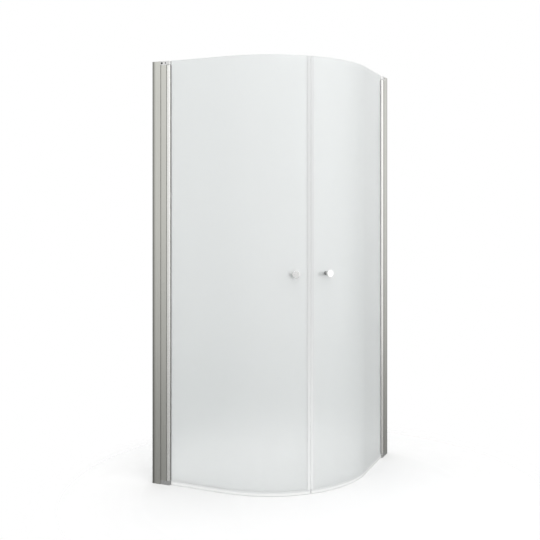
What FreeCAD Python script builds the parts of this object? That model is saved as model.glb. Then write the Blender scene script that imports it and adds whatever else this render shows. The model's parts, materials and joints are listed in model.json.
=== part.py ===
import FreeCAD, Part
import Sketcher
import os
import re

# Quadrant shower enclosure: two J-shaped frosted doors, each hinged to an aluminium frame on its own wall.
# Frame: Z up, the side wall is the plane X = -overall_side / 2, the back wall is Y = +overall_side / 2,
# and the origin is on the floor in the middle of the plan. The left half is drawn. The right half is its
# mirror image across the vertical plane through the room's corner and the doors' closing edges.
#
# Side frame, in which every left piece is drawn: x = distance from the side wall, y = distance inward
# from the middle of the straight glass, z = height above the floor.

DIMENSIONS = {
    # whole enclosure
    "overall_side": 900,        # wall to the far profile's outer face
    "overall_height": 2000,
    "glass_thickness": 6,
    "bend_radius": 507,         # middle of the curved glass
    "cut_spare": 1,             # cuts run this far past the faces
    # wall profile, a U channel
    "profile_depth": 23,        # across the glass
    "wall_flange": 43,          # wall to the flange tips
    "web_thickness": 2,
    "flange_thickness": 1.6,
    "tip_round": 0.7,
    "wall_hole": 5.5,           # diameter for the wall screws
    "hole_first": 100,          # height of the lowest wall screw
    "hole_pitch": 600,
    "plug_length": 15,
    "plug_wall": 1.5,
    "plug_play": 0.2,
    # jamb profile, which slides in the channel
    "tongue_depth": 18.8,
    "tongue_start": 12,
    "head_start": 50,           # where the jamb steps out flush with the wall profile
    "jamb_wall": 1.5,
    "lip_end": 76.5,            # tips of the two lips beside the round profile
    "socket_gap": 0.6,          # round profile to the hollow it turns in
    "socket_back": 68.4,        # solid stock behind the socket starts here
    "wiper_width": 2,
    "wiper_bottom": 69.6,
    "wiper_neck": 71,
    "wiper_tip": 71.7,
    "lock_first": 200,          # height of the lowest locking screw
    "lock_pitch": 800,
    "lock_offset": 30,          # from the wall
    "lock_hole": 4.2,
    "lock_shank": 4,
    "lock_length": 9,
    "lock_head": 8,
    "lock_rise": 2.2,
    # hinge
    "axis_offset": 83.5,        # wall to the hinge axis
    "round_radius": 11.5,
    "chamber_radius": 3.5,
    "hollow_inner": 5.2,
    "hollow_outer": 10,
    "hollow_half": 62,          # half angle of the kidney-shaped hollow
    "slot_start": 88.2,
    "slot_width": 8,
    "block_height": 19,
    "block_shoulder": 43.5,     # the upper block covers the groove from here
    "spigot_start": 45,
    "spigot_length": 25,
    "spigot_play": 0.2,
    "block_gap": 0.3,           # block to bush flange
    "flange_rise": 1,
    "flange_radius": 7,
    "bush_length": 15,
    "pin_radius": 2.5,
    "pin_play": 0.05,
    "pin_seat": 13,             # pin length held in the block
    "pin_reach": 14,            # pin length that stands out of the block
    # screws in the upper block
    "screw_drop": 9.5,          # below the top edge
    "clamp_offset": 51,
    "clamp_head": 9.2,
    "clamp_shank": 5,
    "clamp_length": 16,
    "grub_offset": 71,
    "grub_radius": 3,
    "grub_length": 10,
    "head_depth": 3,
    "head_sink": 0.4,           # both screws lie this far under the block's face
    "hole_play": 0.2,           # radial, round the clamp screw's head
    "clamp_key": 4,             # across the flats of the socket
    "grub_key": 3,
    "key_depth": 2,
    # glass
    "glass_bottom": 13,
    "glass_edge": 89.2,         # the pane starts here, inside the slot
    "gasket_base": 1,
    "lip_start": 94.6,          # the gasket's outer lips
    "gasket_end": 96.8,
    "gasket_lip": 5,            # half width over the lips
    "notch_edge": 97.3,         # the pane is cut back to here beside the blocks
    "seam_angle": 0.9,          # the glass ends this many degrees before the seam
    # closing profile on the free edge
    "grip_middle": 3.75,        # half the length that grips the glass
    "seal_half": 4.3,
    "seal_play": 0.05,
    "seal_web": 1.2,
    "seal_gap": 0.5,            # above the drip seal
    "nose_shoulder": 7.85,      # from the middle of the grip
    "nose_flank": 10.8,
    "nose_half": 0.7,
    "nose_round": 0.75,
    "magnet_width": 5,
    "magnet_length": 3.2,
    # drip seal
    "seal_start": 98,
    "drip_end_angle": 0.42,     # ends this many degrees before the seam
    "drip_half": 4.2,
    "drip_grip": 8,
    "drip_web": 1.5,
    "drip_shoulder": 9,
    "drip_foot": 3,             # half width at its foot
    "drip_floor": 1.5,          # clear of the floor
    "drip_wall": 1.2,
    # knobs
    "knob_angle": 9,            # degrees before the seam
    "knob_height": 1006,
    "knob_length": 37,
    "knob_radius": 17.5,
    "neck_radius": 8.5,
    "neck_length": 14,
    "rim_width": 3,
    "rim_chamfer": 0.8,
    "stud_radius": 2.5,
    "stud_depth": 12,           # into each knob
    "stud_end": 0.5,            # left free at the bore's end
    "stud_play": 0.2,
    "glass_hole": 4,            # radius
    "washer_radius": 8,
    "washer_rise": 0.9,
    "washer_play": 0.1,
}
HOLES_PER_PROFILE = 4
LOCK_SCREWS = 3

# Places that several pieces share, as expressions of the sheet's cells. SIDE_X and SIDE_Y are the side
# frame's origin in the whole enclosure's frame, and BEND_X and BEND_Y the bend's centre in the side frame.
SIDE_X = "-overall_side / 2"
SIDE_Y = "profile_depth / 2 - overall_side / 2"
HALF = "profile_depth / 2"
TONGUE = "tongue_depth / 2"
GLASS_HALF = "glass_thickness / 2"
SLOT_HALF = "slot_width / 2"
BEND_X = "(overall_side - profile_depth / 2 - bend_radius)"
BEND_Y = "bend_radius"
SOCKET = "(round_radius + socket_gap)"
PROFILE_LOW = "(block_height + block_gap + flange_rise)"
PROFILE_HIGH = f"(overall_height - {PROFILE_LOW})"
GRIP_ANGLE = "(45 + seam_angle + 180 / pi * grip_middle / bend_radius)"
KNOB_TURN = "-(45 + knob_angle)"
SEAL_LOW = "(glass_bottom + drip_grip + seal_gap)"

doc = FreeCAD.newDocument("QuadrantEnclosure")
sheet = doc.addObject("Spreadsheet::Sheet", "Dims")
for row, (alias, size) in enumerate(DIMENSIONS.items(), start=1):
    sheet.set(f"A{row}", alias)
    sheet.set(f"B{row}", str(size))
    sheet.setAlias(f"B{row}", alias)
doc.recompute()


def cell(text):
    """The expression as another object reads it: every alias has an underscore and belongs to the sheet."""
    return re.sub(r"\b([a-z]+(?:_[a-z]+)+)\b", r"Dims.\1", str(text))


def number(text):
    """The present value of an expression of the sheet's cells."""
    return float(sheet.evalExpression(str(text)))


def bind(item, path, text):
    item.setExpression(path, cell(text))


def place(item, x, y, z="0", turn=None):
    """Puts a piece in the enclosure's frame, turned about the vertical."""
    angle = number(turn) if turn else 0
    base = FreeCAD.Vector(number(x), number(y), number(z))
    item.Placement = FreeCAD.Placement(base, FreeCAD.Rotation(FreeCAD.Vector(0, 0, 1), angle))
    for axis, text in (("x", x), ("y", y), ("z", z)):
        bind(item, f"Placement.Base.{axis}", text)
    if turn:
        bind(item, "Placement.Rotation.Angle", turn)


def new_body(name):
    """An empty body in the side frame."""
    body = doc.addObject("PartDesign::Body", name)
    body.Label = name
    place(body, SIDE_X, SIDE_Y)
    return body


def new_bend_body(name, angle, height="0"):
    """An empty body whose x axis points out from the bend's centre, at an angle on the arc."""
    body = doc.addObject("PartDesign::Body", name)
    body.Label = name
    place(body, f"{SIDE_X} + {BEND_X}", f"{SIDE_Y} + {BEND_Y}", height, angle)
    return body


def new_sketch(body, name, plane="XY_Plane", lift=None):
    """A sketch on one of the body's own planes, lifted along the plane's normal."""
    sketch = body.newObject("Sketcher::SketchObject", name)
    origin = next(item for item in body.Origin.OriginFeatures if item.Role == plane)
    sketch.AttachmentSupport = (origin, [""])
    sketch.MapMode = "FlatFace"
    if lift:
        sketch.AttachmentOffset = FreeCAD.Placement(FreeCAD.Vector(0, 0, number(lift)), FreeCAD.Rotation())
        bind(sketch, "AttachmentOffset.Base.z", lift)
    return sketch


def fix_point(sketch, edge, end, x, y, rules):
    """Holds a point of the sketch at x, y from the sketch's origin."""
    for kind, text in (("DistanceX", x), ("DistanceY", y)):
        rules.append((Sketcher.Constraint(kind, -1, 1, edge, end, number(text)), text))


def add_rules(sketch, rules):
    """Adds the constraints, and binds those that carry a size."""
    first = len(sketch.Constraints)
    sketch.addConstraint([rule for rule, _ in rules])
    for index, (_, text) in enumerate(rules, start=first):
        if text is not None:
            bind(sketch, f"Constraints[{index}]", text)


def arc_edge(start, end, centre):
    """The short arc between two points about a centre, and whether it runs anticlockwise."""
    begin = FreeCAD.Vector(*start) - FreeCAD.Vector(*centre)
    finish = FreeCAD.Vector(*end) - FreeCAD.Vector(*centre)
    forward = begin.cross(finish).z > 0
    circle = Part.Circle(FreeCAD.Vector(*centre), FreeCAD.Vector(0, 0, 1), begin.Length)
    if forward:
        return Part.ArcOfCircle(circle, circle.parameter(FreeCAD.Vector(*start)),
                                circle.parameter(FreeCAD.Vector(*end))), True
    return Part.ArcOfCircle(circle, circle.parameter(FreeCAD.Vector(*end)),
                            circle.parameter(FreeCAD.Vector(*start))), False


def draw(sketch, corners, arcs=None, closed=True):
    """Joins the corners in turn. arcs gives the centre and radius of each edge that is an arc."""
    arcs = arcs or {}
    places = [(number(x), number(y), 0) for x, y in corners]
    count = len(corners)
    ends = []
    rules = []
    for index in range(count if closed else count - 1):
        start = places[index]
        finish = places[(index + 1) % count]
        if index in arcs:
            (centre_x, centre_y), _ = arcs[index]
            curve, forward = arc_edge(start, finish, (number(centre_x), number(centre_y), 0))
        else:
            curve, forward = Part.LineSegment(FreeCAD.Vector(*start), FreeCAD.Vector(*finish)), True
        edge = sketch.addGeometry(curve, False)
        ends.append((edge, 1 if forward else 2, 2 if forward else 1))
    for index, (edge, start_end, _) in enumerate(ends):
        x, y = corners[index]
        fix_point(sketch, edge, start_end, x, y, rules)
        if index in arcs:
            _, radius = arcs[index]
            rules.append((Sketcher.Constraint("Radius", edge, number(radius)), radius))
        if closed or index:
            before, _, finish_end = ends[index - 1]
            rules.append((Sketcher.Constraint("Coincident", before, finish_end, edge, start_end), None))
    if not closed:
        edge, _, finish_end = ends[-1]
        x, y = corners[-1]
        fix_point(sketch, edge, finish_end, x, y, rules)
    add_rules(sketch, rules)


def draw_circle(sketch, x, y, radius):
    centre = FreeCAD.Vector(number(x), number(y), 0)
    edge = sketch.addGeometry(Part.Circle(centre, FreeCAD.Vector(0, 0, 1), number(radius)), False)
    rules = []
    fix_point(sketch, edge, 3, x, y, rules)
    rules.append((Sketcher.Constraint("Radius", edge, number(radius)), radius))
    add_rules(sketch, rules)


def rectangle(left, right, low, high):
    return [(left, low), (right, low), (right, high), (left, high)]


def pad(body, sketch, length, downward=False):
    feature = body.newObject("PartDesign::Pad", f"{sketch.Name}_pad")
    feature.Profile = sketch
    feature.Reversed = downward
    bind(feature, "Length", length)
    sketch.Visibility = False
    doc.recompute()
    return feature


def pocket(body, sketch, length=None, along_normal=False, both=False):
    """Cuts the sketch into the body, and makes sure that it did cut."""
    before = body.Shape.Volume
    feature = body.newObject("PartDesign::Pocket", f"{sketch.Name}_cut")
    feature.Profile = sketch
    feature.Reversed = along_normal
    if both:
        feature.Midplane = True
    if length is None:
        feature.Type = "ThroughAll"
    else:
        bind(feature, "Length", length)
    sketch.Visibility = False
    doc.recompute()
    if not body.Shape.Volume < before - 1e-3:
        raise RuntimeError(f"{sketch.Name} cuts nothing")
    return feature


def row_up(body, feature, count, pitch):
    """Repeats a feature up the body at a steady pitch."""
    pattern = body.newObject("PartDesign::LinearPattern", f"{feature.Name}_row")
    pattern.Originals = [feature]
    upright = next(item for item in body.Origin.OriginFeatures if item.Role == "Z_Axis")
    pattern.Direction = (upright, [""])
    pattern.Occurrences = count
    bind(pattern, "Length", f"{pitch} * {count - 1}")
    body.Tip = pattern
    doc.recompute()
    return pattern


def revolve(body, sketch, axis="H_Axis"):
    feature = body.newObject("PartDesign::Revolution", f"{sketch.Name}_turn")
    feature.Profile = sketch
    feature.ReferenceAxis = (sketch, [axis])
    feature.Angle = 360
    sketch.Visibility = False
    doc.recompute()
    return feature


def fillet_upright(body, name, places, radius):
    """Rounds the body's upright edges at the given x, y of its own frame."""
    wanted = [(number(x), number(y)) for x, y in places]
    base = body.Tip
    names = []
    for index, edge in enumerate(base.Shape.Edges, start=1):
        ends = [vertex.Point for vertex in edge.Vertexes]
        if len(ends) != 2 or abs(ends[0].z - ends[1].z) < 1:
            continue
        if any(all(abs(end.x - x) < 1e-4 and abs(end.y - y) < 1e-4 for end in ends) for x, y in wanted):
            names.append(f"Edge{index}")
    if len(names) < len(wanted):
        raise RuntimeError(f"{name}: {len(names)} edges found of {len(wanted)}")
    feature = body.newObject("PartDesign::Fillet", name)
    feature.Base = (base, names)
    bind(feature, "Radius", radius)
    body.Tip = feature
    doc.recompute()


def circle_x(radius, half_width):
    """How far from a circle's centre its edge is, at a height of half_width."""
    return f"sqrt(({radius}) ^ 2 - ({half_width}) ^ 2)"


# Wall side

def wall_profile():
    """The U channel on the wall, with rounded tips, wall screw holes and holes for the locking screws."""
    body = new_body("left_wall_profile")
    section = new_sketch(body, "channel")
    inner = f"({HALF} - flange_thickness)"
    draw(section, [("0", f"-{HALF}"), ("wall_flange", f"-{HALF}"), ("wall_flange", f"-{inner}"),
                   ("web_thickness", f"-{inner}"), ("web_thickness", inner), ("wall_flange", inner),
                   ("wall_flange", HALF), ("0", HALF)])
    pad(body, section, "overall_height")
    tips = [("wall_flange", f"-{HALF}"), ("wall_flange", HALF)]
    fillet_upright(body, "rounded_tips", tips, "tip_round")
    holes = new_sketch(body, "wall_holes", "YZ_Plane")
    draw_circle(holes, "0", "hole_first", "wall_hole / 2")
    first = pocket(body, holes, "web_thickness + cut_spare", along_normal=True)
    row_up(body, first, HOLES_PER_PROFILE, "hole_pitch")
    lock_holes(body, "lock_hole / 2")


def lock_holes(body, radius):
    """Holes in the inner side for the locking screws."""
    locks = new_sketch(body, "lock_holes", "XZ_Plane")
    draw_circle(locks, "lock_offset", "lock_first", radius)
    first = pocket(body, locks, f"{HALF} + cut_spare")
    row_up(body, first, LOCK_SCREWS, "lock_pitch")


def channel_plug():
    """The hollow plug that closes the channel's top between the web and the jamb's tongue."""
    body = new_body("left_channel_plug")
    section = new_sketch(body, "plug", lift="overall_height - plug_length")
    side = f"({HALF} - flange_thickness - plug_play)"
    far = "(tongue_start - plug_play)"
    draw(section, rectangle("web_thickness", far, f"-{side}", side))
    pad(body, section, "plug_length")
    hollow = new_sketch(body, "plug_hollow", lift="overall_height - plug_length")
    draw(hollow, rectangle("web_thickness + plug_wall", f"{far} - plug_wall",
                           f"plug_wall - {side}", f"{side} - plug_wall"))
    pocket(body, hollow, "plug_length - plug_wall", along_normal=True)


def jamb_profile():
    """The sliding jamb: a hollow tongue, and a head that ends in the socket for the round profile."""
    body = new_body("left_jamb_profile")
    section = new_sketch(body, "jamb", lift="block_height")
    lip_y = circle_x(SOCKET, "axis_offset - lip_end")
    wiper = "(wiper_width / 2)"
    wiper_x = f"axis_offset - {circle_x(SOCKET, wiper)}"
    socket_arc = (("axis_offset", "0"), SOCKET)
    draw(section, [("tongue_start", f"-{TONGUE}"), ("head_start", f"-{TONGUE}"),
                   ("head_start", f"-{HALF}"), ("lip_end", f"-{HALF}"), ("lip_end", f"-{lip_y}"),
                   (wiper_x, f"-{wiper}"), ("wiper_bottom", f"-{wiper}"), ("wiper_bottom", wiper),
                   (wiper_x, wiper), ("lip_end", lip_y), ("lip_end", HALF), ("head_start", HALF),
                   ("head_start", TONGUE), ("tongue_start", TONGUE)],
         {4: socket_arc, 8: socket_arc})
    inside = f"({TONGUE} - jamb_wall)"
    draw(section, rectangle("tongue_start + jamb_wall", "socket_back", f"-{inside}", inside))
    pad(body, section, "overall_height - 2 * block_height")
    lock_holes(body, "lock_shank / 2")


def jamb_wiper():
    """The lip seal that closes the last of the gap to the round profile."""
    body = new_body("left_jamb_wiper")
    section = new_sketch(body, "wiper", lift="block_height")
    half = "(wiper_width / 2)"
    draw(section, [("wiper_bottom", f"-{half}"), ("wiper_neck", f"-{half}"), ("wiper_tip", f"-{half} / 2"),
                   ("wiper_tip", f"{half} / 2"), ("wiper_neck", half), ("wiper_bottom", half)])
    pad(body, section, "overall_height - 2 * block_height")


def lock_screws():
    """Cheese-head screws through the channel's inner flange into the tongue."""
    body = new_body("left_jamb_lock_screws")
    place(body, f"{SIDE_X} + lock_offset", SIDE_Y, "lock_first")
    section = new_sketch(body, "lock_screw")
    tip = f"({HALF} - lock_length)"
    top = f"({HALF} + lock_rise)"
    draw(section, [("0", tip), ("lock_shank / 2", tip), ("lock_shank / 2", HALF),
                   ("lock_head / 2", HALF), ("lock_head / 2", top), ("0", top)])
    row_up(body, revolve(body, section, "V_Axis"), LOCK_SCREWS, "lock_pitch")


def pivot_block(name, low, shoulder, bore_face, bore_up):
    """A cast block: a tongue that closes the jamb's end, a head, and the round eye over the hinge axis."""
    body = new_body(name)
    plan = new_sketch(body, f"{name}_plan", lift=low)
    centre = (("axis_offset", "0"), "round_radius")
    draw(plan, [("tongue_start", f"-{TONGUE}"), (shoulder, f"-{TONGUE}"), (shoulder, f"-{HALF}"),
                ("axis_offset", f"-{HALF}"), ("axis_offset + round_radius", "0"), ("axis_offset", HALF),
                (shoulder, HALF), (shoulder, TONGUE), ("tongue_start", TONGUE)],
         {3: centre, 4: centre})
    pad(body, plan, "block_height")
    spigot = new_sketch(body, f"{name}_spigot", lift=bore_face)
    side = f"({TONGUE} - jamb_wall - spigot_play)"
    draw(spigot, rectangle("spigot_start", "socket_back - spigot_play", f"-{side}", side))
    pad(body, spigot, "spigot_length", downward=bore_up)
    bore = new_sketch(body, f"{name}_bore", lift=bore_face)
    draw_circle(bore, "axis_offset", "0", "pin_radius")
    pocket(body, bore, "pin_seat", along_normal=bore_up)
    return body


def top_pivot_block():
    """The upper block also has the bores of the two screws in its outer face."""
    low = "overall_height - block_height"
    body = pivot_block("left_top_pivot_block", low, "block_shoulder", low, bore_up=True)
    level = "overall_height - screw_drop"
    bores = [("clamp_seat", "clamp_offset", "clamp_head / 2 + hole_play", "head_sink + head_depth"),
             ("clamp_bore", "clamp_offset", "clamp_shank / 2", "head_sink + clamp_length"),
             ("grub_bore", "grub_offset", "grub_radius", "head_sink + grub_length")]
    for bore, offset, radius, depth in bores:
        plan = new_sketch(body, bore, "XZ_Plane", lift=HALF)
        draw_circle(plan, offset, level, radius)
        pocket(body, plan, depth)


def bottom_pivot_block():
    pivot_block("left_bottom_pivot_block", "0", "head_start", "block_height", bore_up=False)


def socket_screw(name, offset, outline, key):
    """A screw turned from an outline of radii and depths, with a hexagon socket, seen from the outside."""
    body = new_body(name)
    place(body, f"{SIDE_X} + {offset}", f"{SIDE_Y} - {HALF}", "overall_height - screw_drop")
    section = new_sketch(body, f"{name}_half")
    draw(section, outline)
    revolve(body, section, "V_Axis")
    socket = new_sketch(body, f"{name}_key", "XZ_Plane", lift="-head_sink")
    reach = f"({key} / sqrt(3))"
    turns = [60 * corner for corner in range(6)]
    draw(socket, [(f"{reach} * cos({turn})", f"{reach} * sin({turn})") for turn in turns])
    pocket(body, socket, "key_depth")


def clamp_screw():
    """The cap screw in its counterbore."""
    under = "(head_sink + head_depth)"
    end = "(head_sink + clamp_length)"
    outline = [("0", "head_sink"), ("clamp_head / 2", "head_sink"), ("clamp_head / 2", under),
               ("clamp_shank / 2", under), ("clamp_shank / 2", end), ("0", end)]
    socket_screw("left_clamp_screw", "clamp_offset", outline, "clamp_key")


def grub_screw():
    """The headless screw beside it."""
    outline = rectangle("0", "grub_radius", "head_sink", "head_sink + grub_length")
    socket_screw("left_grub_screw", "grub_offset", outline, "grub_key")


def pivot_pin(name, low, high):
    """A steel pin pressed in its block."""
    body = new_body(name)
    place(body, f"{SIDE_X} + axis_offset", SIDE_Y)
    section = new_sketch(body, f"{name}_half", "XZ_Plane")
    draw(section, rectangle("0", "pin_radius", low, high))
    revolve(body, section, "V_Axis")


# Doors

def pivot_bush(name, flange_face, profile_end, sleeve_end):
    """A flanged plastic bush that runs on the pin."""
    body = new_body(name)
    place(body, f"{SIDE_X} + axis_offset", SIDE_Y)
    section = new_sketch(body, f"{name}_half", "XZ_Plane")
    bore = "(pin_radius + pin_play)"
    draw(section, [(bore, flange_face), ("flange_radius", flange_face), ("flange_radius", profile_end),
                   ("chamber_radius", profile_end), ("chamber_radius", sleeve_end), (bore, sleeve_end)])
    revolve(body, section, "V_Axis")


def hinge_profile():
    """The round extrusion: a glass slot, a chamber for the bushes and a kidney-shaped hollow."""
    body = new_body("left_hinge_profile")
    section = new_sketch(body, "round_section", lift=PROFILE_LOW)
    mouth = f"axis_offset + {circle_x('round_radius', SLOT_HALF)}"
    outer = (("axis_offset", "0"), "round_radius")
    draw(section, [(mouth, f"-{SLOT_HALF}"), ("axis_offset", "-round_radius"),
                   ("axis_offset - round_radius", "0"), ("axis_offset", "round_radius"),
                   (mouth, SLOT_HALF), ("slot_start", SLOT_HALF), ("slot_start", f"-{SLOT_HALF}")],
         {0: outer, 1: outer, 2: outer, 3: outer})
    draw_circle(section, "axis_offset", "0", "chamber_radius")
    ends = {}
    for radius in ("hollow_outer", "hollow_inner"):
        ends[radius] = (f"axis_offset - {radius} * cos(hollow_half)", f"{radius} * sin(hollow_half)")
    (outer_x, outer_y), (inner_x, inner_y) = ends.values()
    draw(section, [(outer_x, f"-{outer_y}"), (outer_x, outer_y),
                   (inner_x, inner_y), (inner_x, f"-{inner_y}")],
         {0: (("axis_offset", "0"), "hollow_outer"), 2: (("axis_offset", "0"), "hollow_inner")})
    pad(body, section, f"{PROFILE_HIGH} - {PROFILE_LOW}")


def glazing_gasket():
    """The black channel round the glass edge, with two lips outside the profile."""
    body = new_body("left_glazing_gasket")
    section = new_sketch(body, "gasket", lift=PROFILE_LOW)
    lower = [("slot_start", SLOT_HALF), ("lip_start", SLOT_HALF), ("lip_start", "gasket_lip"),
             ("gasket_end", "gasket_lip - gasket_base"), ("gasket_end", GLASS_HALF),
             ("glass_edge", GLASS_HALF)]
    upper = [(x, f"-({y})") for x, y in lower]
    draw(section, upper + lower[::-1])
    pad(body, section, f"{PROFILE_HIGH} - {PROFILE_LOW}")


def bend_point(radius, angle):
    """A point on the bend, with the angle in degrees below the x axis."""
    return f"{BEND_X} + ({radius}) * cos({angle})", f"{BEND_Y} - ({radius}) * sin({angle})"


def glass_panel():
    """The J-shaped pane, cut back beside the pivot blocks and drilled for the knobs."""
    body = new_body("left_glass_panel")
    section = new_sketch(body, "pane", lift="glass_bottom")
    outer = f"bend_radius + {GLASS_HALF}"
    inner = f"bend_radius - {GLASS_HALF}"
    bend = (BEND_X, BEND_Y)
    draw(section, [("glass_edge", f"-{GLASS_HALF}"), (BEND_X, f"-{GLASS_HALF}"),
                   bend_point(outer, "45 + seam_angle"), bend_point(inner, "45 + seam_angle"),
                   (BEND_X, GLASS_HALF), ("glass_edge", GLASS_HALF)],
         {1: (bend, outer), 3: (bend, inner)})
    pad(body, section, "overall_height - glass_bottom")
    notches = new_sketch(body, "notches", "XZ_Plane")
    start = "glass_edge - cut_spare"
    draw(notches, rectangle(start, "notch_edge", "0", PROFILE_LOW))
    draw(notches, rectangle(start, "notch_edge", PROFILE_HIGH, "overall_height + cut_spare"))
    pocket(body, notches, both=True)
    hole = new_sketch(body, "knob_hole", "XZ_Plane")
    turn = FreeCAD.Rotation(FreeCAD.Vector(0, 1, 0), number("45 - knob_angle"))
    hole.AttachmentOffset = FreeCAD.Placement(FreeCAD.Vector(number(BEND_X), 0, -number(BEND_Y)), turn)
    bind(hole, "AttachmentOffset.Base.x", BEND_X)
    bind(hole, "AttachmentOffset.Base.z", f"-{BEND_Y}")
    bind(hole, "AttachmentOffset.Rotation.Angle", "45 - knob_angle")
    draw_circle(hole, "0", "knob_height", "glass_hole")
    pocket(body, hole, f"{outer} + cut_spare", along_normal=True)


def bottom_seal():
    """The drip seal, swept along the pane's lower edge: a clip on the glass over a hollow skirt."""
    body = new_body("left_bottom_seal")
    route = new_sketch(body, "seal_route")
    draw(route, [("seal_start", "0"), (BEND_X, "0"), bend_point("bend_radius", "45 + drip_end_angle")],
         {1: ((BEND_X, BEND_Y), "bend_radius")}, closed=False)
    section = new_sketch(body, "seal_section", "YZ_Plane", lift="seal_start")
    web = "(glass_bottom - drip_web)"
    half = [("drip_foot", "drip_floor"), ("drip_half", "drip_shoulder"),
            ("drip_half", "glass_bottom + drip_grip"), (GLASS_HALF, "glass_bottom + drip_grip"),
            (GLASS_HALF, "glass_bottom")]
    draw(section, half + [(f"-({x})", y) for x, y in half[::-1]])
    foot = "(drip_foot - drip_wall)"
    roof = "(drip_half - drip_wall)"
    draw(section, [(foot, "drip_floor + drip_wall"), (roof, "drip_shoulder"), (roof, web),
                   (f"-{roof}", web), (f"-{roof}", "drip_shoulder"), (f"-{foot}", "drip_floor + drip_wall")])
    sweep = body.newObject("PartDesign::AdditivePipe", "seal_sweep")
    sweep.Profile = section
    sweep.Spine = (route, [])
    doc.recompute()


def magnet_seal():
    """The closing profile on the free edge: a clip, a chamber for the magnet and a pointed nose."""
    body = new_bend_body("left_magnet_seal", f"-{GRIP_ANGLE}")
    section = new_sketch(body, "closing_section", lift=SEAL_LOW)
    grip = f"({GLASS_HALF} + seal_play)"
    web = "(grip_middle + seal_play)"
    round_centre = f"nose_flank - {circle_x('nose_round', 'nose_half')}"
    far = [("seal_half", "-grip_middle"), ("seal_half", "nose_shoulder"), ("nose_half", "nose_flank")]
    near = [(f"-{x}", y) for x, y in far[::-1]]
    clip = [(f"-{grip}", "-grip_middle"), (f"-{grip}", web), (grip, web), (grip, "-grip_middle")]
    draw(section, [(f"bend_radius + {x}", y) for x, y in far + near + clip],
         {2: (("bend_radius", round_centre), "nose_round")})
    room = "(magnet_width / 2 + seal_play)"
    floor = f"({web} + seal_web)"
    draw(section, rectangle(f"bend_radius - {room}", f"bend_radius + {room}",
                            floor, f"{floor} + magnet_length + 2 * seal_play"))
    pad(body, section, f"overall_height - {SEAL_LOW}")


def magnet_strip():
    """The magnet in the closing profile's chamber."""
    body = new_bend_body("left_magnet_strip", f"-{GRIP_ANGLE}")
    section = new_sketch(body, "magnet_section", lift=SEAL_LOW)
    start = "(grip_middle + 2 * seal_play + seal_web)"
    draw(section, rectangle("bend_radius - magnet_width / 2", "bend_radius + magnet_width / 2",
                            start, f"{start} + magnet_length"))
    pad(body, section, f"overall_height - {SEAL_LOW}")


def knob(name, sign):
    """A turned knob: neck, conical flank, chamfered rim, flat face and a blind bore for the stud."""
    body = new_bend_body(name, KNOB_TURN, "knob_height")
    section = new_sketch(body, f"{name}_half")

    def out(text):
        return f"bend_radius {sign} ({GLASS_HALF} + washer_play + washer_rise + {text})"

    draw(section, [(out("stud_depth"), "0"), (out("stud_depth"), "stud_radius"), (out("0"), "stud_radius"),
                   (out("0"), "neck_radius"), (out("neck_length"), "neck_radius"),
                   (out("knob_length - rim_width"), "knob_radius"),
                   (out("knob_length - rim_chamfer"), "knob_radius"),
                   (out("knob_length"), "knob_radius - rim_chamfer"), (out("knob_length"), "0")])
    revolve(body, section)


def knob_stud():
    """The stud through the glass that both knobs screw on to."""
    body = new_bend_body("left_knob_stud", KNOB_TURN, "knob_height")
    section = new_sketch(body, "stud_half")
    reach = f"({GLASS_HALF} + washer_play + washer_rise + stud_depth - stud_end)"
    draw(section, rectangle(f"bend_radius - {reach}", f"bend_radius + {reach}", "0", "stud_radius"))
    revolve(body, section)


def knob_washers():
    """The clear washers between knobs and glass."""
    body = new_bend_body("left_knob_washers", KNOB_TURN, "knob_height")
    section = new_sketch(body, "washer_halves")
    near = f"{GLASS_HALF} + washer_play"
    for sign in ("-", "+"):
        ends = [f"bend_radius {sign} ({near})", f"bend_radius {sign} ({near} + washer_rise)"]
        low, high = ends if sign == "+" else ends[::-1]
        draw(section, rectangle(low, high, "stud_radius + stud_play", "washer_radius"))
    revolve(body, section)


def build_left():
    """Draws the left half, wall side first."""
    wall_profile()
    channel_plug()
    jamb_profile()
    jamb_wiper()
    lock_screws()
    top_pivot_block()
    bottom_pivot_block()
    clamp_screw()
    grub_screw()
    top_face = "(overall_height - block_height)"
    pivot_pin("left_top_pivot_pin", f"{top_face} - pin_reach", f"{top_face} + pin_seat")
    pivot_pin("left_bottom_pivot_pin", "block_height - pin_seat", "block_height + pin_reach")
    pivot_bush("left_top_pivot_bush", f"{PROFILE_HIGH} + flange_rise", PROFILE_HIGH,
               f"{PROFILE_HIGH} - bush_length")
    pivot_bush("left_bottom_pivot_bush", f"{PROFILE_LOW} - flange_rise", PROFILE_LOW,
               f"{PROFILE_LOW} + bush_length")
    hinge_profile()
    glazing_gasket()
    glass_panel()
    bottom_seal()
    magnet_seal()
    magnet_strip()
    knob("left_outer_knob", "+")
    knob("left_inner_knob", "-")
    knob_stud()
    knob_washers()


def mirror_right(left):
    """The right-hand piece: the left one mirrored across the plane through the room's corner."""
    name = left.Label.replace("left_", "right_", 1)
    right = doc.addObject("Part::Mirroring", name)
    right.Label = name
    right.Source = left
    right.Base = FreeCAD.Vector(0, 0, 0)
    right.Normal = FreeCAD.Vector(1, 1, 0)
    return right


def check(pieces):
    """Stops if anything in the document failed or a piece isn't a sound solid."""
    for item in doc.Objects:
        if "Invalid" in item.State or "Error" in item.State:
            raise RuntimeError(f"{item.Label} failed: {item.State}")
    for piece in pieces:
        shape = piece.Shape
        if shape.isNull() or not shape.isValid() or not shape.Solids:
            raise RuntimeError(f"{piece.Label} isn't a valid solid")


build_left()
left_pieces = [item for item in doc.Objects if item.TypeId == "PartDesign::Body"]
right_pieces = [mirror_right(piece) for piece in left_pieces]
doc.recompute()
all_pieces = left_pieces + right_pieces
check(all_pieces)
os.makedirs("parts", exist_ok=True)
for piece in all_pieces:
    piece.Shape.exportStep(f"parts/{piece.Label}.step")
print(f"{len(all_pieces)} pieces written")
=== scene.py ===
import json
import math

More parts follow.
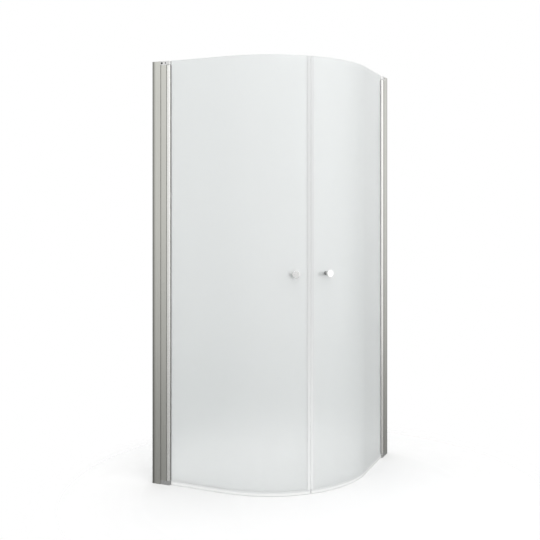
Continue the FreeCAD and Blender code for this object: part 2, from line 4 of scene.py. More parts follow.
import bmesh
import bpy
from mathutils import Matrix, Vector
from mathutils.geometry import tessellate_polygon


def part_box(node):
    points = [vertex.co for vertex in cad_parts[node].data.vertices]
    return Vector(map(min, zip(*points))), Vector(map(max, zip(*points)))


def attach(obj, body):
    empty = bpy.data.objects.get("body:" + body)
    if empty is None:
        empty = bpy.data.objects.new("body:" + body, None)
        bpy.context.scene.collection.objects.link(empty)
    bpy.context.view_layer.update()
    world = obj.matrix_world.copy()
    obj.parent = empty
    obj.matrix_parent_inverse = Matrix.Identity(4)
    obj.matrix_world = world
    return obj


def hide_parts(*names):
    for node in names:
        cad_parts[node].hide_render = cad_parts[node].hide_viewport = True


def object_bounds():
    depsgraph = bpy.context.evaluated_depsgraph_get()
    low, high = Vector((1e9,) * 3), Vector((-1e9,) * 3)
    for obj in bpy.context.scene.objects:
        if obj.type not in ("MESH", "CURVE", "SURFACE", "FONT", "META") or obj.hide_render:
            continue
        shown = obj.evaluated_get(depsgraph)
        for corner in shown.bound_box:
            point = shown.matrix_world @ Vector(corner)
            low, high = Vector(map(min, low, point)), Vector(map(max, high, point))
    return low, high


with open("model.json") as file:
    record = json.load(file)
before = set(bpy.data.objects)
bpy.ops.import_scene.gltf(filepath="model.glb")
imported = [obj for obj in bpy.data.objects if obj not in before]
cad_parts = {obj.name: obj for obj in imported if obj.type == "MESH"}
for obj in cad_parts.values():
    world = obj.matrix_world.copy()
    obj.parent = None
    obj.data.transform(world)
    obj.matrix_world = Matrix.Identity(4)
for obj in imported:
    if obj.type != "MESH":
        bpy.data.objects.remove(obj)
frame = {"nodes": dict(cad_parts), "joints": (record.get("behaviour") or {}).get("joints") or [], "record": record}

# Quadrant shower enclosure: two J-shaped frosted doors on aluminium frames.
# Metres, Z up. The left half's pieces are drawn, and the right half mirrors them across the upright
# plane through the back corner of the square plan and the closing edges: (x, y) goes to (-y, -x).

cad_box = [list(corner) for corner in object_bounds()]

GLASS_LOW, GLASS_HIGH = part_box("left_glass_panel")
THICKNESS = 0.006
BEND_RADIUS = 0.507                                # middle of the curved glass
MID_Y = GLASS_LOW.y + THICKNESS / 2                # middle of the straight glass
BEND_Y = MID_Y + BEND_RADIUS
BEND_X = -BEND_Y                                   # the bend's centre lies in the mirror plane
BEND_CENTRE = Vector((BEND_X, BEND_Y, 0))
STRAIGHT = BEND_X - GLASS_LOW.x                    # length of the straight pane
SEAM_DEGREES = 45                                  # from the start of the bend to the seam plane
SEAM_ANGLE = math.radians(SEAM_DEGREES)
BACK_FACES = -cad_box[0][0]                        # from the middle to either frame's back face
HINGE = Vector(next(joint["pos_m"] for joint in frame["joints"] if joint["name"] == "left_hinge"))

DOORS = {"left": "left_door", "right": "right_door"}

SAME = 1e-6                                        # lengths closer than this count as equal
SHARP = math.radians(35)                           # edges that turn more than this stay edges


# Points and meshes

def along(s, offset=0.0):
    """A point on the pane's middle at length s from its hinge edge, moved outward by offset."""
    if s <= STRAIGHT:
        return GLASS_LOW.x + s, MID_Y - offset
    angle = (s - STRAIGHT) / BEND_RADIUS
    radius = BEND_RADIUS + offset
    return BEND_X + radius * math.sin(angle), BEND_Y - radius * math.cos(angle)


def arc_length(degrees_before_seam):
    """The length s at which the pane is this many degrees short of the seam plane."""
    return STRAIGHT + BEND_RADIUS * (SEAM_ANGLE - math.radians(degrees_before_seam))


def mirror(point):
    """The same point on the right half."""
    return Vector((-point[1], -point[0], point[2]))


def new_piece(name, points, faces, right=False):
    """A mesh object, mirrored for the right half, smooth except across sharp edges."""
    if right:
        points = [mirror(point) for point in points]
        faces = [face[::-1] for face in faces]
    mesh = bpy.data.meshes.new(name)
    mesh.from_pydata([tuple(point) for point in points], [], faces)
    work = bmesh.new()
    work.from_mesh(mesh)
    bmesh.ops.recalc_face_normals(work, faces=work.faces)
    work.to_mesh(mesh)
    work.free()
    mesh.shade_smooth()
    mesh.set_sharp_from_angle(angle=SHARP)
    piece = bpy.data.objects.new(name, mesh)
    bpy.context.scene.collection.objects.link(piece)
    return piece


def soften(piece, width):
    """Rounds a piece's sharp edges a little."""
    bevel = piece.modifiers.new("rounded", "BEVEL")
    bevel.width = width
    bevel.segments = 2
    bevel.limit_method = "ANGLE"
    bevel.angle_limit = SHARP
    bevel.harden_normals = True


def arc(centre, radius, start, end, steps):
    """Points of an arc from one angle to another, in degrees, both ends included."""
    angles = [math.radians(start + (end - start) * step / steps) for step in range(steps + 1)]
    return [(centre[0] + radius * math.cos(angle), centre[1] + radius * math.sin(angle))
            for angle in angles]


def both_sides(half):
    """A closed outline from its right half, mirrored in u. A point on the middle line counts once."""
    return half + [(-u, v) for u, v in half[::-1] if u > SAME]


def extrusion(loops, stations, place):
    """A section carried past the stations: loops are its outline and its holes, place sets a point."""
    section = [point for loop in loops for point in loop]
    count = len(section)
    points = [place(station, u, v) for station in stations for u, v in section]
    faces = []
    start = 0
    for loop in loops:
        for step in range(len(stations) - 1):
            low = step * count + start
            for i in range(len(loop)):
                j = (i + 1) % len(loop)
                faces.append([low + i, low + j, low + count + j, low + count + i])
        start += len(loop)
    last = (len(stations) - 1) * count
    for cap in tessellate_polygon([[Vector((u, v, 0)) for u, v in loop] for loop in loops]):
        faces.append(list(cap))
        faces.append([index + last for index in cap[::-1]])
    return points, faces


def finish_piece(piece, body, material, node):
    """Gives a new piece its material and its body, and hides the node it stands for."""
    piece.data.materials.append(material)
    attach(piece, body)
    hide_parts(node)


# Materials

SHADE_SAMPLES = 6
MIX_COLOURS, MIX_RESULT = (6, 7), 2    # the colour sockets of a mix node


class Surface:
    """A node material with one shader, and short calls for the nodes that vary it."""

    def __init__(self, name, **uniform):
        self.material = bpy.data.materials.new(name)
        self.material.use_nodes = True
        self.tree = self.material.node_tree
        self.shader = self.tree.nodes["Principled BSDF"]
        self.texture_space = self.node("ShaderNodeTexCoord").outputs["Object"]
        for socket, value in uniform.items():
            self.shader.inputs[socket.replace("_", " ")].default_value = value

    def node(self, kind, **settings):
        """A new node, with its properties set."""
        made = self.tree.nodes.new(kind)
        for key, value in settings.items():
            setattr(made, key, value)
        return made

    def link(self, source, target):
        self.tree.links.new(source, target)

    def coordinate(self, axis):
        """A point's place along X, Y or Z."""
        split = self.node("ShaderNodeSeparateXYZ")
        self.link(self.texture_space, split.inputs["Vector"])
        return split.outputs[axis]

    def noise(self, scale, detail=3.0, stretch=(1, 1, 1)):
        """Soft noise over the object's coordinates, which stretch multiplies axis by axis."""
        mapping = self.node("ShaderNodeMapping")
        mapping.inputs["Scale"].default_value = stretch
        self.link(self.texture_space, mapping.inputs["Vector"])
        texture = self.node("ShaderNodeTexNoise")
        texture.inputs["Scale"].default_value = scale
        texture.inputs["Detail"].default_value = detail
        self.link(mapping.outputs["Vector"], texture.inputs["Vector"])
        return texture.outputs["Fac"]

    def spread(self, factor, socket, low, high, start=0.3, end=0.7):
        """Sends a factor, spread over a range of values, to a socket of the shader."""
        ranged = self.node("ShaderNodeMapRange")
        for key, value in (("From Min", start), ("From Max", end), ("To Min", low), ("To Max", high)):
            ranged.inputs[key].default_value = value
        self.link(factor, ranged.inputs["Value"])
        self.link(ranged.outputs["Result"], self.shader.inputs[socket])

    def tint(self, factor, first, second, start=0.3, end=0.7):
        """Colours the shader from the first tone, where the factor is at start, to the second."""
        ramp = self.node("ShaderNodeValToRGB")
        ramp.color_ramp.elements[0].position = start
        ramp.color_ramp.elements[1].position = end
        ramp.color_ramp.elements[0].color = (*first, 1)
        ramp.color_ramp.elements[1].color = (*second, 1)
        self.link(factor, ramp.inputs["Fac"])
        self.link(ramp.outputs["Color"], self.shader.inputs["Base Color"])

    def bump(self, factor, strength, distance, edge):
        """Fine relief, over edges that look rounded by the radius edge."""
        rounded = self.node("ShaderNodeBevel", samples=SHADE_SAMPLES)
        rounded.inputs["Radius"].default_value = edge
        relief = self.node("ShaderNodeBump")
        relief.inputs["Strength"].default_value = strength
        relief.inputs["Distance"].default_value = distance
        self.link(factor, relief.inputs["Height"])
        self.link(rounded.outputs["Normal"], relief.inputs["Normal"])
        self.link(relief.outputs["Normal"], self.shader.inputs["Normal"])

    def darken(self, factor, shade, start, end):
        """Multiplies the base colour by a shade where the factor is at start, and by white at end."""
        ramp = self.node("ShaderNodeValToRGB")
        stops = sorted([(start, shade), (end, (1, 1, 1))])
        for element, (position, colour) in zip(ramp.color_ramp.elements, stops):
            element.position = position
            element.color = (*colour, 1)
        self.link(factor, ramp.inputs["Fac"])
        colour = self.shader.inputs["Base Color"].links[0].from_socket
        product = self.node("ShaderNodeMix", data_type="RGBA", blend_type="MULTIPLY")
        product.inputs["Factor"].default_value = 1
        self.link(colour, product.inputs[MIX_COLOURS[0]])
        self.link(ramp.outputs["Color"], product.inputs[MIX_COLOURS[1]])
        self.link(product.outputs[MIX_RESULT], self.shader.inputs["Base Color"])

    def from_back_face(self):
        """How far a point is from the nearer of the two planes that the frames' back faces lie in."""
        from_side = self.node("ShaderNodeMath", operation="ADD")
        from_side.inputs[1].default_value = BACK_FACES
        self.link(self.coordinate("X"), from_side.inputs[0])
        from_rear = self.node("ShaderNodeMath", operation="SUBTRACT")
        from_rear.inputs[0].default_value = BACK_FACES
        self.link(self.coordinate("Y"), from_rear.inputs[1])
        nearer = self.node("ShaderNodeMath", operation="MINIMUM")
        self.link(from_side.outputs[0], nearer.inputs[0])
        self.link(from_rear.outputs[0], nearer.inputs[1])
        return nearer.outputs[0]

    def corners(self, distance):
        """Nearly 1 on open surfaces, and less in grooves and corners."""
        shade = self.node("ShaderNodeAmbientOcclusion", samples=SHADE_SAMPLES)
        shade.inputs["Distance"].default_value = distance
        return shade.outputs["AO"]


DRAWN = (220, 220, 1.2)      # stretches noise into fine lines along an upright extrusion
PLASTIC_IOR = 1.47
GLASS_IOR = 1.5
GROOVE_LOW, GROOVE_HIGH = 0.0126, 0.0136    # heights of the groove round the drip seal
SEAL_WHITE_TOP = 0.0128      # height in that groove at which the white of the seals ends


def grey(value, warmth=0.0):
    """A grey, with its blue lowered by the share warmth."""
    return value, value, value * (1 - warmth)


def extruded_metal(name, tone, warmth, roughness, edge, metallic):
    """Aluminium: fine drawn lines, slight cloudiness and uneven sheen."""
    surface = Surface(name, Metallic=metallic)
    lines = surface.noise(scale=5.0, detail=2.0, stretch=DRAWN)
    cloud = surface.noise(scale=3.0, detail=4.0, stretch=(1, 1, 0.4))
    surface.tint(cloud, grey(tone - 0.03, warmth), grey(tone + 0.03, warmth))
    surface.spread(lines, "Roughness", low=roughness - 0.06, high=roughness + 0.06)
    surface.bump(lines, strength=0.12, distance=0.00005, edge=edge)
    return surface


def anodised_aluminium():
    """Satin frame profiles, with painted shade that darkens them in their grooves and near their back faces."""
    surface = extruded_metal("anodised_aluminium", tone=0.63, warmth=0.07, roughness=0.32,
                             edge=0.0005, metallic=1.0)
    # Painted shade: ambient occlusion darkens the base colour in grooves and corners.
    surface.darken(surface.corners(distance=0.005), grey(0.30), start=0.45, end=0.92)
    # Painted shade: darker within 17 mm of the back faces, where the frame meets the wall.
    surface.darken(surface.from_back_face(), grey(0.24), start=0.001, end=0.017)
    return surface.material


def bright_aluminium():
    """The round profiles: a paler and brighter finish than the frame's."""
    surface = extruded_metal("polished_aluminium", tone=0.90, warmth=0.03, roughness=0.24,
                             edge=0.0002, metallic=0.72)
    return surface.material


def cast_metal(name, tone, roughness, scale=260, edge=0.0006):
    """Plated or ground metal with a fine grain."""
    surface = Surface(name, Metallic=1.0)
    grain = surface.noise(scale, detail=4.0)
    cloud = surface.noise(scale=22)
    surface.tint(cloud, grey(tone - 0.04, 0.01), grey(tone + 0.03, 0.01))
    surface.spread(grain, "Roughness", low=roughness - 0.05, high=roughness + 0.07)
    surface.bump(grain, strength=0.08, distance=0.00004, edge=edge)
    return surface


def turned_chrome():
    """The outer knobs' bright finish, with painted shade darkening the neck and the underside of the head."""
    surface = cast_metal("chrome_knob", tone=0.90, roughness=0.14, scale=420, edge=0.0002)
    # Painted shade: ambient occlusion out to 60 mm, taking in the glass, darkens the neck, flank and rim.
    surface.darken(surface.corners(distance=0.06), grey(0.10), start=0.40, end=0.94)
    return surface.material


def moulded(name, dark, light, roughness, scale=180, **uniform):
    """Plastic or rubber with a fine moulded grain."""
    surface = Surface(name, **uniform)
    grain = surface.noise(scale)
    cloud = surface.noise(scale=9)
    surface.tint(cloud, grey(dark), grey(light))
    surface.spread(grain, "Roughness", low=roughness - 0.06, high=roughness + 0.08)
    surface.bump(grain, strength=0.15, distance=0.00006, edge=0.0003)
    return surface.material


def frosted_glass():
    """Satin safety glass: milky and faintly blue-green, under a soft gloss."""
    surface = Surface("frosted_glass", Transmission_Weight=0.58, IOR=GLASS_IOR, Coat_Weight=0.35,
                      Coat_Roughness=0.24, Coat_IOR=GLASS_IOR)
    cloud = surface.noise(scale=1.6, stretch=(1, 1, 0.3))
    surface.tint(cloud, (0.935, 0.958, 0.954), (0.955, 0.972, 0.969))
    surface.spread(surface.noise(scale=240, detail=2.0), "Roughness", low=0.34, high=0.42)
    return surface.material


def washer_plastic():
    """Clear plastic with faint cloudiness."""
    surface = Surface("clear_washer", Transmission_Weight=0.80, IOR=PLASTIC_IOR)
    surface.tint(surface.noise(scale=14), (0.86, 0.89, 0.89), (0.94, 0.96, 0.96))
    surface.spread(surface.noise(scale=40, detail=2.0), "Roughness", low=0.08, high=0.18)
    return surface.material


def seal_plastic(name, on_glass):
    """Milky seal strip: white up to the height of the groove and greyer above it, a two-tone strip whose grey is
    partly painted shade where it lies over the glass.
    """
    surface = Surface(name, Transmission_Weight=0.08, IOR=PLASTIC_IOR)
    # Partly painted: the grey above the groove also stands for the shade on the strip where it grips the glass.
    surface.tint(surface.coordinate("Z"), (0.95, 0.96, 0.95), on_glass,
                 start=SEAL_WHITE_TOP, end=GROOVE_HIGH)
    surface.spread(surface.noise(scale=40, detail=2.0), "Roughness", low=0.30, high=0.42)
    return surface.material


MATERIALS = {
    "anodised_aluminium": anodised_aluminium(),
    "polished_aluminium": bright_aluminium(),
    "plated_zinc": cast_metal("plated_zinc", tone=0.72, roughness=0.30).material,
    "screw_steel": cast_metal("screw_steel", tone=0.60, roughness=0.30, edge=0.0002).material,
    "pin_steel": cast_metal("pin_steel", tone=0.60, roughness=0.22).material,
    "black_screw": moulded("black_screw", 0.004, 0.008, roughness=0.60, scale=400,
                           Specular_IOR_Level=0.1),
    "chrome_knob": turned_chrome(),
    "chrome_inner_knob": cast_metal("chrome_inner_knob", tone=0.95, roughness=0.22, scale=420,
                                    edge=0.0002).material,
    "grey_plastic": moulded("grey_plastic", 0.46, 0.54, roughness=0.50),
    "white_acetal": moulded("white_acetal", 0.80, 0.86, roughness=0.38),
    "black_rubber": moulded("black_rubber", 0.020, 0.034, roughness=0.62),
    "magnet_core": moulded("magnet_core", 0.64, 0.70, roughness=0.60),
    "frosted_glass": frosted_glass(),
    # The seals' tones on the glass are partly painted shade, set lighter for the closing seal.
    "clear_seal": seal_plastic("clear_seal", on_glass=(0.80, 0.81, 0.81)),
    "closing_seal": seal_plastic("closing_seal", on_glass=(0.88, 0.89, 0.89)),
    "clear_washer": washer_plastic(),
}


def dress_cad_nodes():
    """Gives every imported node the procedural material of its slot."""
    for part in frame["record"]["subparts"]:
        node = frame["nodes"][part["node"]]
        for place in node.material_slots:
            place.material = MATERIALS[part["material_slot"]]


# Glass

PANE_END = 0.9               # degrees before the seam
PANE_EDGE = 0.0007           # width of the softened edges
NOTCH_LENGTH = 0.0081        # cut back beside the pivot blocks
NOTCH_RISE = 0.0203          # height of the lower cut, and drop of the upper one
HOLE_RADIUS = 0.004
HOLE_SIDES = 32
HOLE_PATCH = 0.010           # half size of the square of mesh round the hole
PATCH_CLEARANCE = 0.002      # from the square to the next column
KNOB_ANGLE = 9.0             # degrees before the seam
KNOB_HEIGHT = 1.006
STRAIGHT_STEPS = 8
BEND_STEPS = 48


def pane_columns():
    """The lengths s at which the pane's mesh has a column of points."""
    hole = arc_length(KNOB_ANGLE)
    end = arc_length(PANE_END)
    columns = [STRAIGHT * step / STRAIGHT_STEPS for step in range(STRAIGHT_STEPS + 1)]
    columns += [STRAIGHT + (end - STRAIGHT) * step / BEND_STEPS for step in range(1, BEND_STEPS + 1)]
    columns = [s for s in columns if abs(s - hole) > HOLE_PATCH + PATCH_CLEARANCE]
    return sorted(columns + [NOTCH_LENGTH, hole - HOLE_PATCH, hole + HOLE_PATCH])


def pane_sheet():
    """The pane laid flat: points (s, z) and faces, with the corner notches and the knob hole."""
    columns = pane_columns()
    rows = [GLASS_LOW.z, NOTCH_RISE, KNOB_HEIGHT - HOLE_PATCH, KNOB_HEIGHT + HOLE_PATCH,
            GLASS_HIGH.z - NOTCH_RISE, GLASS_HIGH.z]
    count = len(rows)
    points = [(s, z) for s in columns for z in rows]
    hole = arc_length(KNOB_ANGLE)
    faces = []
    for i in range(len(columns) - 1):
        for j in range(count - 1):
            low = i * count + j
            corners = [low, low + count, low + count + 1, low + 1]
            in_notch = columns[i] < NOTCH_LENGTH - SAME and j in (0, count - 2)
            at_hole = abs(columns[i] + HOLE_PATCH - hole) < SAME and rows[j] == KNOB_HEIGHT - HOLE_PATCH
            if at_hole:
                faces += holed_cell(points, corners, hole)
            elif not in_notch:
                faces.append(corners)
    return points, faces


def holed_cell(points, corners, hole):
    """Four faces that fill a square cell round the knob hole. The hole's points join the list."""
    quarter = HOLE_SIDES // 4
    first = len(points)
    towards_first_corner = math.radians(225)
    for step in range(HOLE_SIDES):
        angle = towards_first_corner + math.tau * step / HOLE_SIDES
        points.append((hole + HOLE_RADIUS * math.cos(angle), KNOB_HEIGHT + HOLE_RADIUS * math.sin(angle)))
    faces = []
    for side in range(4):
        rim = [first + (side * quarter + step) % HOLE_SIDES for step in range(quarter + 1)]
        faces.append([corners[side], corners[(side + 1) % 4]] + rim[::-1])
    return faces


def thicken(points, faces, place):
    """Two skins and the rim between them. place gives a sheet point's position on a skin, 1 or -1."""
    used = sorted({index for face in faces for index in face})
    order = {old: new for new, old in enumerate(used)}
    count = len(used)
    solid = [place(*points[old], 1) for old in used] + [place(*points[old], -1) for old in used]
    outer = [[order[index] for index in face] for face in faces]
    inner = [[index + count for index in face[::-1]] for face in outer]
    directed = {(face[i], face[(i + 1) % len(face)]) for face in outer for i in range(len(face))}
    rim = [[b, a, a + count, b + count] for a, b in directed if (b, a) not in directed]
    return solid, outer + inner + sorted(rim)


def glass_panel(side, body):
    """One door's bent pane, with softened edges."""

    def place(s, z, skin):
        x, y = along(s, skin * THICKNESS / 2)
        return Vector((x, y, z))

    points, faces = thicken(*pane_sheet(), place)
    pane = new_piece(f"{side}_pane", points, faces, right=side == "right")
    soften(pane, PANE_EDGE)
    finish_piece(pane, body, MATERIALS["frosted_glass"], f"{side}_glass_panel")


# Knobs

KNOB_SIDES = 64
NECK_RADIUS = 0.0095
HEAD_RADIUS = 0.0175
NECK_LENGTH = 0.009
RIM_WIDTH = 0.003
FOOT_CHAMFER = 0.0005        # where the neck meets the washer
NECK_ROUND = 0.003           # where the neck meets the flank
NECK_STEPS = 6
EDGE_ROUND = 0.0008          # where the rim meets the face
EDGE_STEPS = 4


def knob_outline(length):
    """Distance out along the knob and radius, from the washer to the middle of the face."""
    flank_end = length - RIM_WIDTH
    slope = (HEAD_RADIUS - NECK_RADIUS) / (flank_end - NECK_LENGTH)
    outline = [(0.0, 0.0), (0.0, NECK_RADIUS - FOOT_CHAMFER), (FOOT_CHAMFER, NECK_RADIUS)]
    for step in range(NECK_STEPS + 1):
        share = step / NECK_STEPS
        outline.append((NECK_LENGTH + NECK_ROUND * (2 * share - 1),
                        NECK_RADIUS + slope * NECK_ROUND * share * share))
    outline.append((flank_end, HEAD_RADIUS))
    for step in range(EDGE_STEPS + 1):
        turn = math.radians(90 * step / EDGE_STEPS)
        outline.append((length - EDGE_ROUND + EDGE_ROUND * math.sin(turn),
                        HEAD_RADIUS - EDGE_ROUND + EDGE_ROUND * math.cos(turn)))
    outline += [(length, HEAD_RADIUS - 2 * EDGE_ROUND), (length, 0.0)]
    return outline


def turned(outline, sides):
    """Rings of a turned piece about its own axis, closed at both ends on the axis."""
    rings = outline[1:-1]
    points = [(outline[0][0], 0.0, 0.0)]
    for reach, radius in rings:
        for side in range(sides):
            angle = math.tau * side / sides
            points.append((reach, radius * math.cos(angle), radius * math.sin(angle)))
    points.append((outline[-1][0], 0.0, 0.0))
    last = len(points) - 1
    faces = [[0, 1 + (side + 1) % sides, 1 + side] for side in range(sides)]
    for ring in range(len(rings) - 1):
        low = 1 + ring * sides
        for side in range(sides):
            after = (side + 1) % sides
            faces.append([low + side, low + after, low + sides + after, low + sides + side])
    end = 1 + (len(rings) - 1) * sides
    faces += [[last, end + side, end + (side + 1) % sides] for side in range(sides)]
    return points, faces


def knob_reach(node, direction):
    """How far from the bend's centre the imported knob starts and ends."""
    vertices = frame["nodes"][node].data.vertices
    reaches = [(vertex.co - BEND_CENTRE).dot(direction) for vertex in vertices]
    return min(reaches), max(reaches)


def knob(side, face, body):
    """A turned knob, outside or inside the glass. The inner one's finish is paler."""
    angle = math.radians(-SEAM_DEGREES - KNOB_ANGLE)
    direction = Vector((math.cos(angle), math.sin(angle), 0))
    across = Vector((-direction.y, direction.x, 0))
    nearest, furthest = knob_reach(f"left_{face}_knob", direction)
    if face == "outer":
        start, outward, finish = nearest, 1, "chrome_knob"
    else:
        start, outward, finish = furthest, -1, "chrome_inner_knob"
    points, faces = turned(knob_outline(furthest - nearest), KNOB_SIDES)
    placed = [BEND_CENTRE + direction * (start + outward * reach) + across * a
              + Vector((0, 0, KNOB_HEIGHT + b)) for reach, a, b in points]
    piece = new_piece(f"{side}_{face}_handle", placed, faces, right=side == "right")
    finish_piece(piece, body, MATERIALS[finish], f"{side}_{face}_knob")


# Hinge profile

SLOT_HALF = 0.004            # half width of the slot that grips the glass
SLOT_START = 0.0047          # from the hinge axis
CHAMBER_RADIUS = 0.0035
HOLLOW = (0.0052, 0.010)     # inner and outer radius of the kidney-shaped hollow
HOLLOW_HALF = 62             # degrees
RIM_STEPS = 72
CHAMBER_STEPS = 32
HOLLOW_STEPS = (14, 20)      # along its inner and its outer arc


def hinge_section():
    """The round profile's outline, its chamber for the bushes and its hollow."""
    radius = HINGE.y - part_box("left_hinge_profile")[0].y
    mouth = math.degrees(math.asin(SLOT_HALF / radius))
    outline = arc(HINGE, radius, mouth, 360 - mouth, RIM_STEPS)
    outline += [(HINGE.x + SLOT_START, HINGE.y - SLOT_HALF), (HINGE.x + SLOT_START, HINGE.y + SLOT_HALF)]
    chamber = arc(HINGE, CHAMBER_RADIUS, 0, 360, CHAMBER_STEPS)[:-1]
    inner, outer = HOLLOW
    inner_steps, outer_steps = HOLLOW_STEPS
    hollow = arc(HINGE, outer, 180 - HOLLOW_HALF, 180 + HOLLOW_HALF, outer_steps)
    hollow += arc(HINGE, inner, 180 + HOLLOW_HALF, 180 - HOLLOW_HALF, inner_steps)
    return [outline, chamber, hollow]


def round_profile(side, body):
    """The round extrusion that grips the glass and turns on the pins."""

    def place(z, x, y):
        return Vector((x, y, z))

    node = f"{side}_hinge_profile"
    low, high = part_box(node)
    points, faces = extrusion(hinge_section(), [low.z, high.z], place)
    piece = new_piece(f"{side}_round_profile", points, faces, right=side == "right")
    finish_piece(piece, body, MATERIALS["polished_aluminium"], node)


# Drip seal

GLASS_HALF = THICKNESS / 2
DRIP_HALF = 0.0042           # half width across the glass
DRIP_SHOULDER = 0.009        # where the skirt reaches its full width
DRIP_TOP = 0.0210
DRIP_INNER_HALF = 0.0030     # half width of the hollow
DRIP_END = 0.42              # degrees before the seam
DRIP_STEPS = 72


def drip_section():
    """The drip seal and its hollow, across the glass and up, from their right halves."""
    skirt = [(0.0022, 0.0015), (0.0029, 0.0019), (DRIP_HALF, DRIP_SHOULDER)]
    groove = [(DRIP_HALF, GROOVE_LOW), (0.0038, 0.0129), (0.0038, 0.0133), (DRIP_HALF, GROOVE_HIGH)]
    clip = [(DRIP_HALF, 0.0206), (0.0039, DRIP_TOP), (0.0033, DRIP_TOP), (GLASS_HALF, 0.0206),
            (GLASS_HALF, 0.013)]
    hollow = [(0.0018, 0.0027), (DRIP_INNER_HALF, DRIP_SHOULDER), (DRIP_INNER_HALF, 0.0115)]
    return [both_sides(skirt + groove + clip), both_sides(hollow)]


def drip_seal(side, body):
    """The seal under the pane, carried along its lower edge."""

    def place(s, offset, z):
        return Vector((*along(s, offset), z))

    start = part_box("left_bottom_seal")[0].x - GLASS_LOW.x
    bend = arc_length(DRIP_END) - STRAIGHT
    stations = [start] + [STRAIGHT + bend * step / DRIP_STEPS for step in range(DRIP_STEPS + 1)]
    points, faces = extrusion(drip_section(), stations, place)
    piece = new_piece(f"{side}_drip_seal", points, faces, right=side == "right")
    finish_piece(piece, body, MATERIALS["clear_seal"], f"{side}_bottom_seal")


# Closing seal. Lengths run towards the seam from the middle of its grip on the glass.

CLOSING_HALF = 0.0043        # half width across the glass
GRIP_MIDDLE = 0.00375        # half the length of the grip
NOSE_SHOULDER = 0.00785
NOSE_CENTRE = 0.010531
NOSE_ROUND = 0.00075         # radius of the tip
NOSE_START = 21              # degrees, where the flank runs into the rounded tip
NOSE_STEPS = 5
CHAMBER_HALF = 0.00255       # half width of the magnet's chamber
CHAMBER_LOW, CHAMBER_HIGH = 0.0050, 0.0083


def closing_section():
    """The closing profile across the glass and towards the seam: clip, magnet chamber and nose."""
    clip = [(0.00305, 0.0038), (0.0031, -0.0034), (0.0033, -GRIP_MIDDLE), (0.0035, -GRIP_MIDDLE),
            (CLOSING_HALF, 0.0005)]
    nose = [(CLOSING_HALF, NOSE_SHOULDER)]
    nose += arc((0, NOSE_CENTRE), NOSE_ROUND, NOSE_START, 90, NOSE_STEPS)
    chamber = [(CHAMBER_HALF, CHAMBER_LOW), (CHAMBER_HALF, CHAMBER_HIGH)]
    return [both_sides(clip + nose), both_sides(chamber)]


def closing_seal(side, body):
    """The upright seal on the pane's free edge."""
    turn = SEAM_ANGLE + math.radians(PANE_END) + GRIP_MIDDLE / BEND_RADIUS
    out = Vector((math.cos(turn), -math.sin(turn), 0))
    on = Vector((math.sin(turn), math.cos(turn), 0))

    def place(z, across, ahead):
        return BEND_CENTRE + out * (BEND_RADIUS + across) + on * ahead + Vector((0, 0, z))

    node = f"{side}_magnet_seal"
    low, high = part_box(node)
    points, faces = extrusion(closing_section(), [low.z, high.z], place)
    piece = new_piece(f"{side}_closing_seal", points, faces, right=side == "right")
    finish_piece(piece, body, MATERIALS["closing_seal"], node)


# Stage

FLOOR_CENTRE = (0.25, -0.25)
FLOOR_SIDES = 96
FADE_START, FADE_END = 0.76, 1.25    # from the floor's centre

CAMERA_PLACE = (1.5698, -3.7033, 1.2896)
CAMERA_TURN = 23.452         # degrees to the left of +Y, with a level view
LENS = 53.153                # this and the next in millimetres
SENSOR = 36
FRAME_SHIFT = -0.1083

# Brightness from straight down (0) past the horizon (0.5) to straight up (1)
WHITE = ((0.0, 1.0), (1.0, 1.0))
SKY = ((0.0, 0.62), (0.25, 0.34), (0.33, 0.18), (0.40, 0.46), (0.46, 0.74), (0.52, 0.96),
       (0.60, 1.03), (1.0, 1.10))
BACKDROP = ((0.0, 0.84), (0.25, 0.60), (0.36, 0.36), (0.39, 0.60), (0.43, 1.02), (0.50, 1.05),
            (1.0, 1.06))
COOL = 0.13                  # how much less red the dim part of the backdrop has


def pale_floor():
    """A pale floor that fades softly into the white around it."""
    points = arc(FLOOR_CENTRE, FADE_END, 0, 360, FLOOR_SIDES)[:-1]
    floor = new_piece("floor", [(x, y, 0) for x, y in points], [list(range(len(points)))])
    surface = Surface("pale_floor", Roughness=0.75)
    surface.tint(surface.noise(scale=2.0), grey(0.85), grey(0.87))
    distance = surface.node("ShaderNodeVectorMath", operation="DISTANCE")
    distance.inputs[1].default_value = (*FLOOR_CENTRE, 0)
    surface.link(surface.texture_space, distance.inputs[0])
    surface.spread(distance.outputs["Value"], "Alpha", low=1.0, high=0.0, start=FADE_START, end=FADE_END)
    floor.data.materials.append(surface.material)
    floor.visible_glossy = False


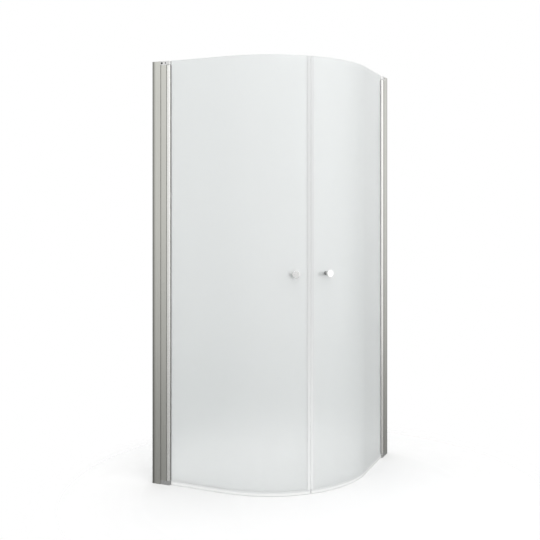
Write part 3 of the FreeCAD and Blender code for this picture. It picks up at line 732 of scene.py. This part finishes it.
def studio_world():
    """White behind the object. Around it, soft light that is bright above and dim low down.

    The backdrop that shows through the panes stays bright further down than the sky in front.
    """
    world = bpy.data.worlds.new("studio")
    bpy.context.scene.world = world
    world.use_nodes = True
    tree = world.node_tree
    nodes, links = tree.nodes, tree.links
    nodes.clear()
    coordinates = nodes.new("ShaderNodeTexCoord")
    split = nodes.new("ShaderNodeSeparateXYZ")
    ranged = nodes.new("ShaderNodeMapRange")
    ranged.inputs["From Min"].default_value = -1    # Z of a direction that points straight down
    rays = nodes.new("ShaderNodeLightPath")
    output = nodes.new("ShaderNodeOutputWorld")
    links.new(coordinates.outputs["Generated"], split.inputs["Vector"])
    links.new(split.outputs["Z"], ranged.inputs["Value"])

    def shade(stops, coolness=0.0):
        ramp = nodes.new("ShaderNodeValToRGB")
        while len(ramp.color_ramp.elements) < len(stops):
            ramp.color_ramp.elements.new(0.5)
        for element, (position, value) in zip(ramp.color_ramp.elements, stops):
            element.position = position
            red = value * (1 - coolness * max(0.0, 1 - value))
            element.color = (red, value, value, 1)
        background = nodes.new("ShaderNodeBackground")
        links.new(ranged.outputs["Result"], ramp.inputs["Fac"])
        links.new(ramp.outputs["Color"], background.inputs["Color"])
        return background.outputs["Background"]

    def choose(ray, otherwise, chosen):
        mix = nodes.new("ShaderNodeMixShader")
        links.new(rays.outputs[ray], mix.inputs["Fac"])
        links.new(otherwise, mix.inputs[1])
        links.new(chosen, mix.inputs[2])
        return mix.outputs["Shader"]

    around = choose("Is Transmission Ray", shade(SKY), shade(BACKDROP, COOL))
    links.new(choose("Is Camera Ray", around, shade(WHITE)), output.inputs["Surface"])


def softbox(name, place, target, size, power, lights_diffuse=True):
    """A soft rectangular light that the camera doesn't see. It can leave matt surfaces unlit."""
    light = bpy.data.lights.new(name, "AREA")
    light.shape = "RECTANGLE"
    light.size, light.size_y = size
    light.energy = power
    lamp = bpy.data.objects.new(name, light)
    lamp.location = place
    lamp.rotation_euler = (Vector(target) - Vector(place)).to_track_quat("-Z", "Y").to_euler()
    lamp.visible_camera = False
    lamp.visible_diffuse = lights_diffuse
    bpy.context.scene.collection.objects.link(lamp)


def studio_camera():
    """A level camera, in front of the object and to its right."""
    data = bpy.data.cameras.new("camera")
    data.sensor_width = SENSOR
    data.lens = LENS
    data.shift_y = FRAME_SHIFT
    camera = bpy.data.objects.new("camera", data)
    camera.location = CAMERA_PLACE
    camera.rotation_euler = (math.radians(90), 0, math.radians(CAMERA_TURN))
    bpy.context.scene.collection.objects.link(camera)
    bpy.context.scene.camera = camera


studio_camera()
studio_world()
pale_floor()
softbox("overhead", place=(1.0, -1.0, 3.8), target=(0.2, -0.2, 0.0), size=(2.4, 2.4), power=32)
softbox("side_card", place=(3.2, -0.3, 1.45), target=(0.2, -0.3, 1.45), size=(4.4, 2.9), power=20,
        lights_diffuse=False)
bpy.context.scene.view_settings.view_transform = "Standard"

dress_cad_nodes()
for side, body in DOORS.items():
    glass_panel(side, body)
    knob(side, "outer", body)
    knob(side, "inner", body)
    round_profile(side, body)
    drip_seal(side, body)
    closing_seal(side, body)
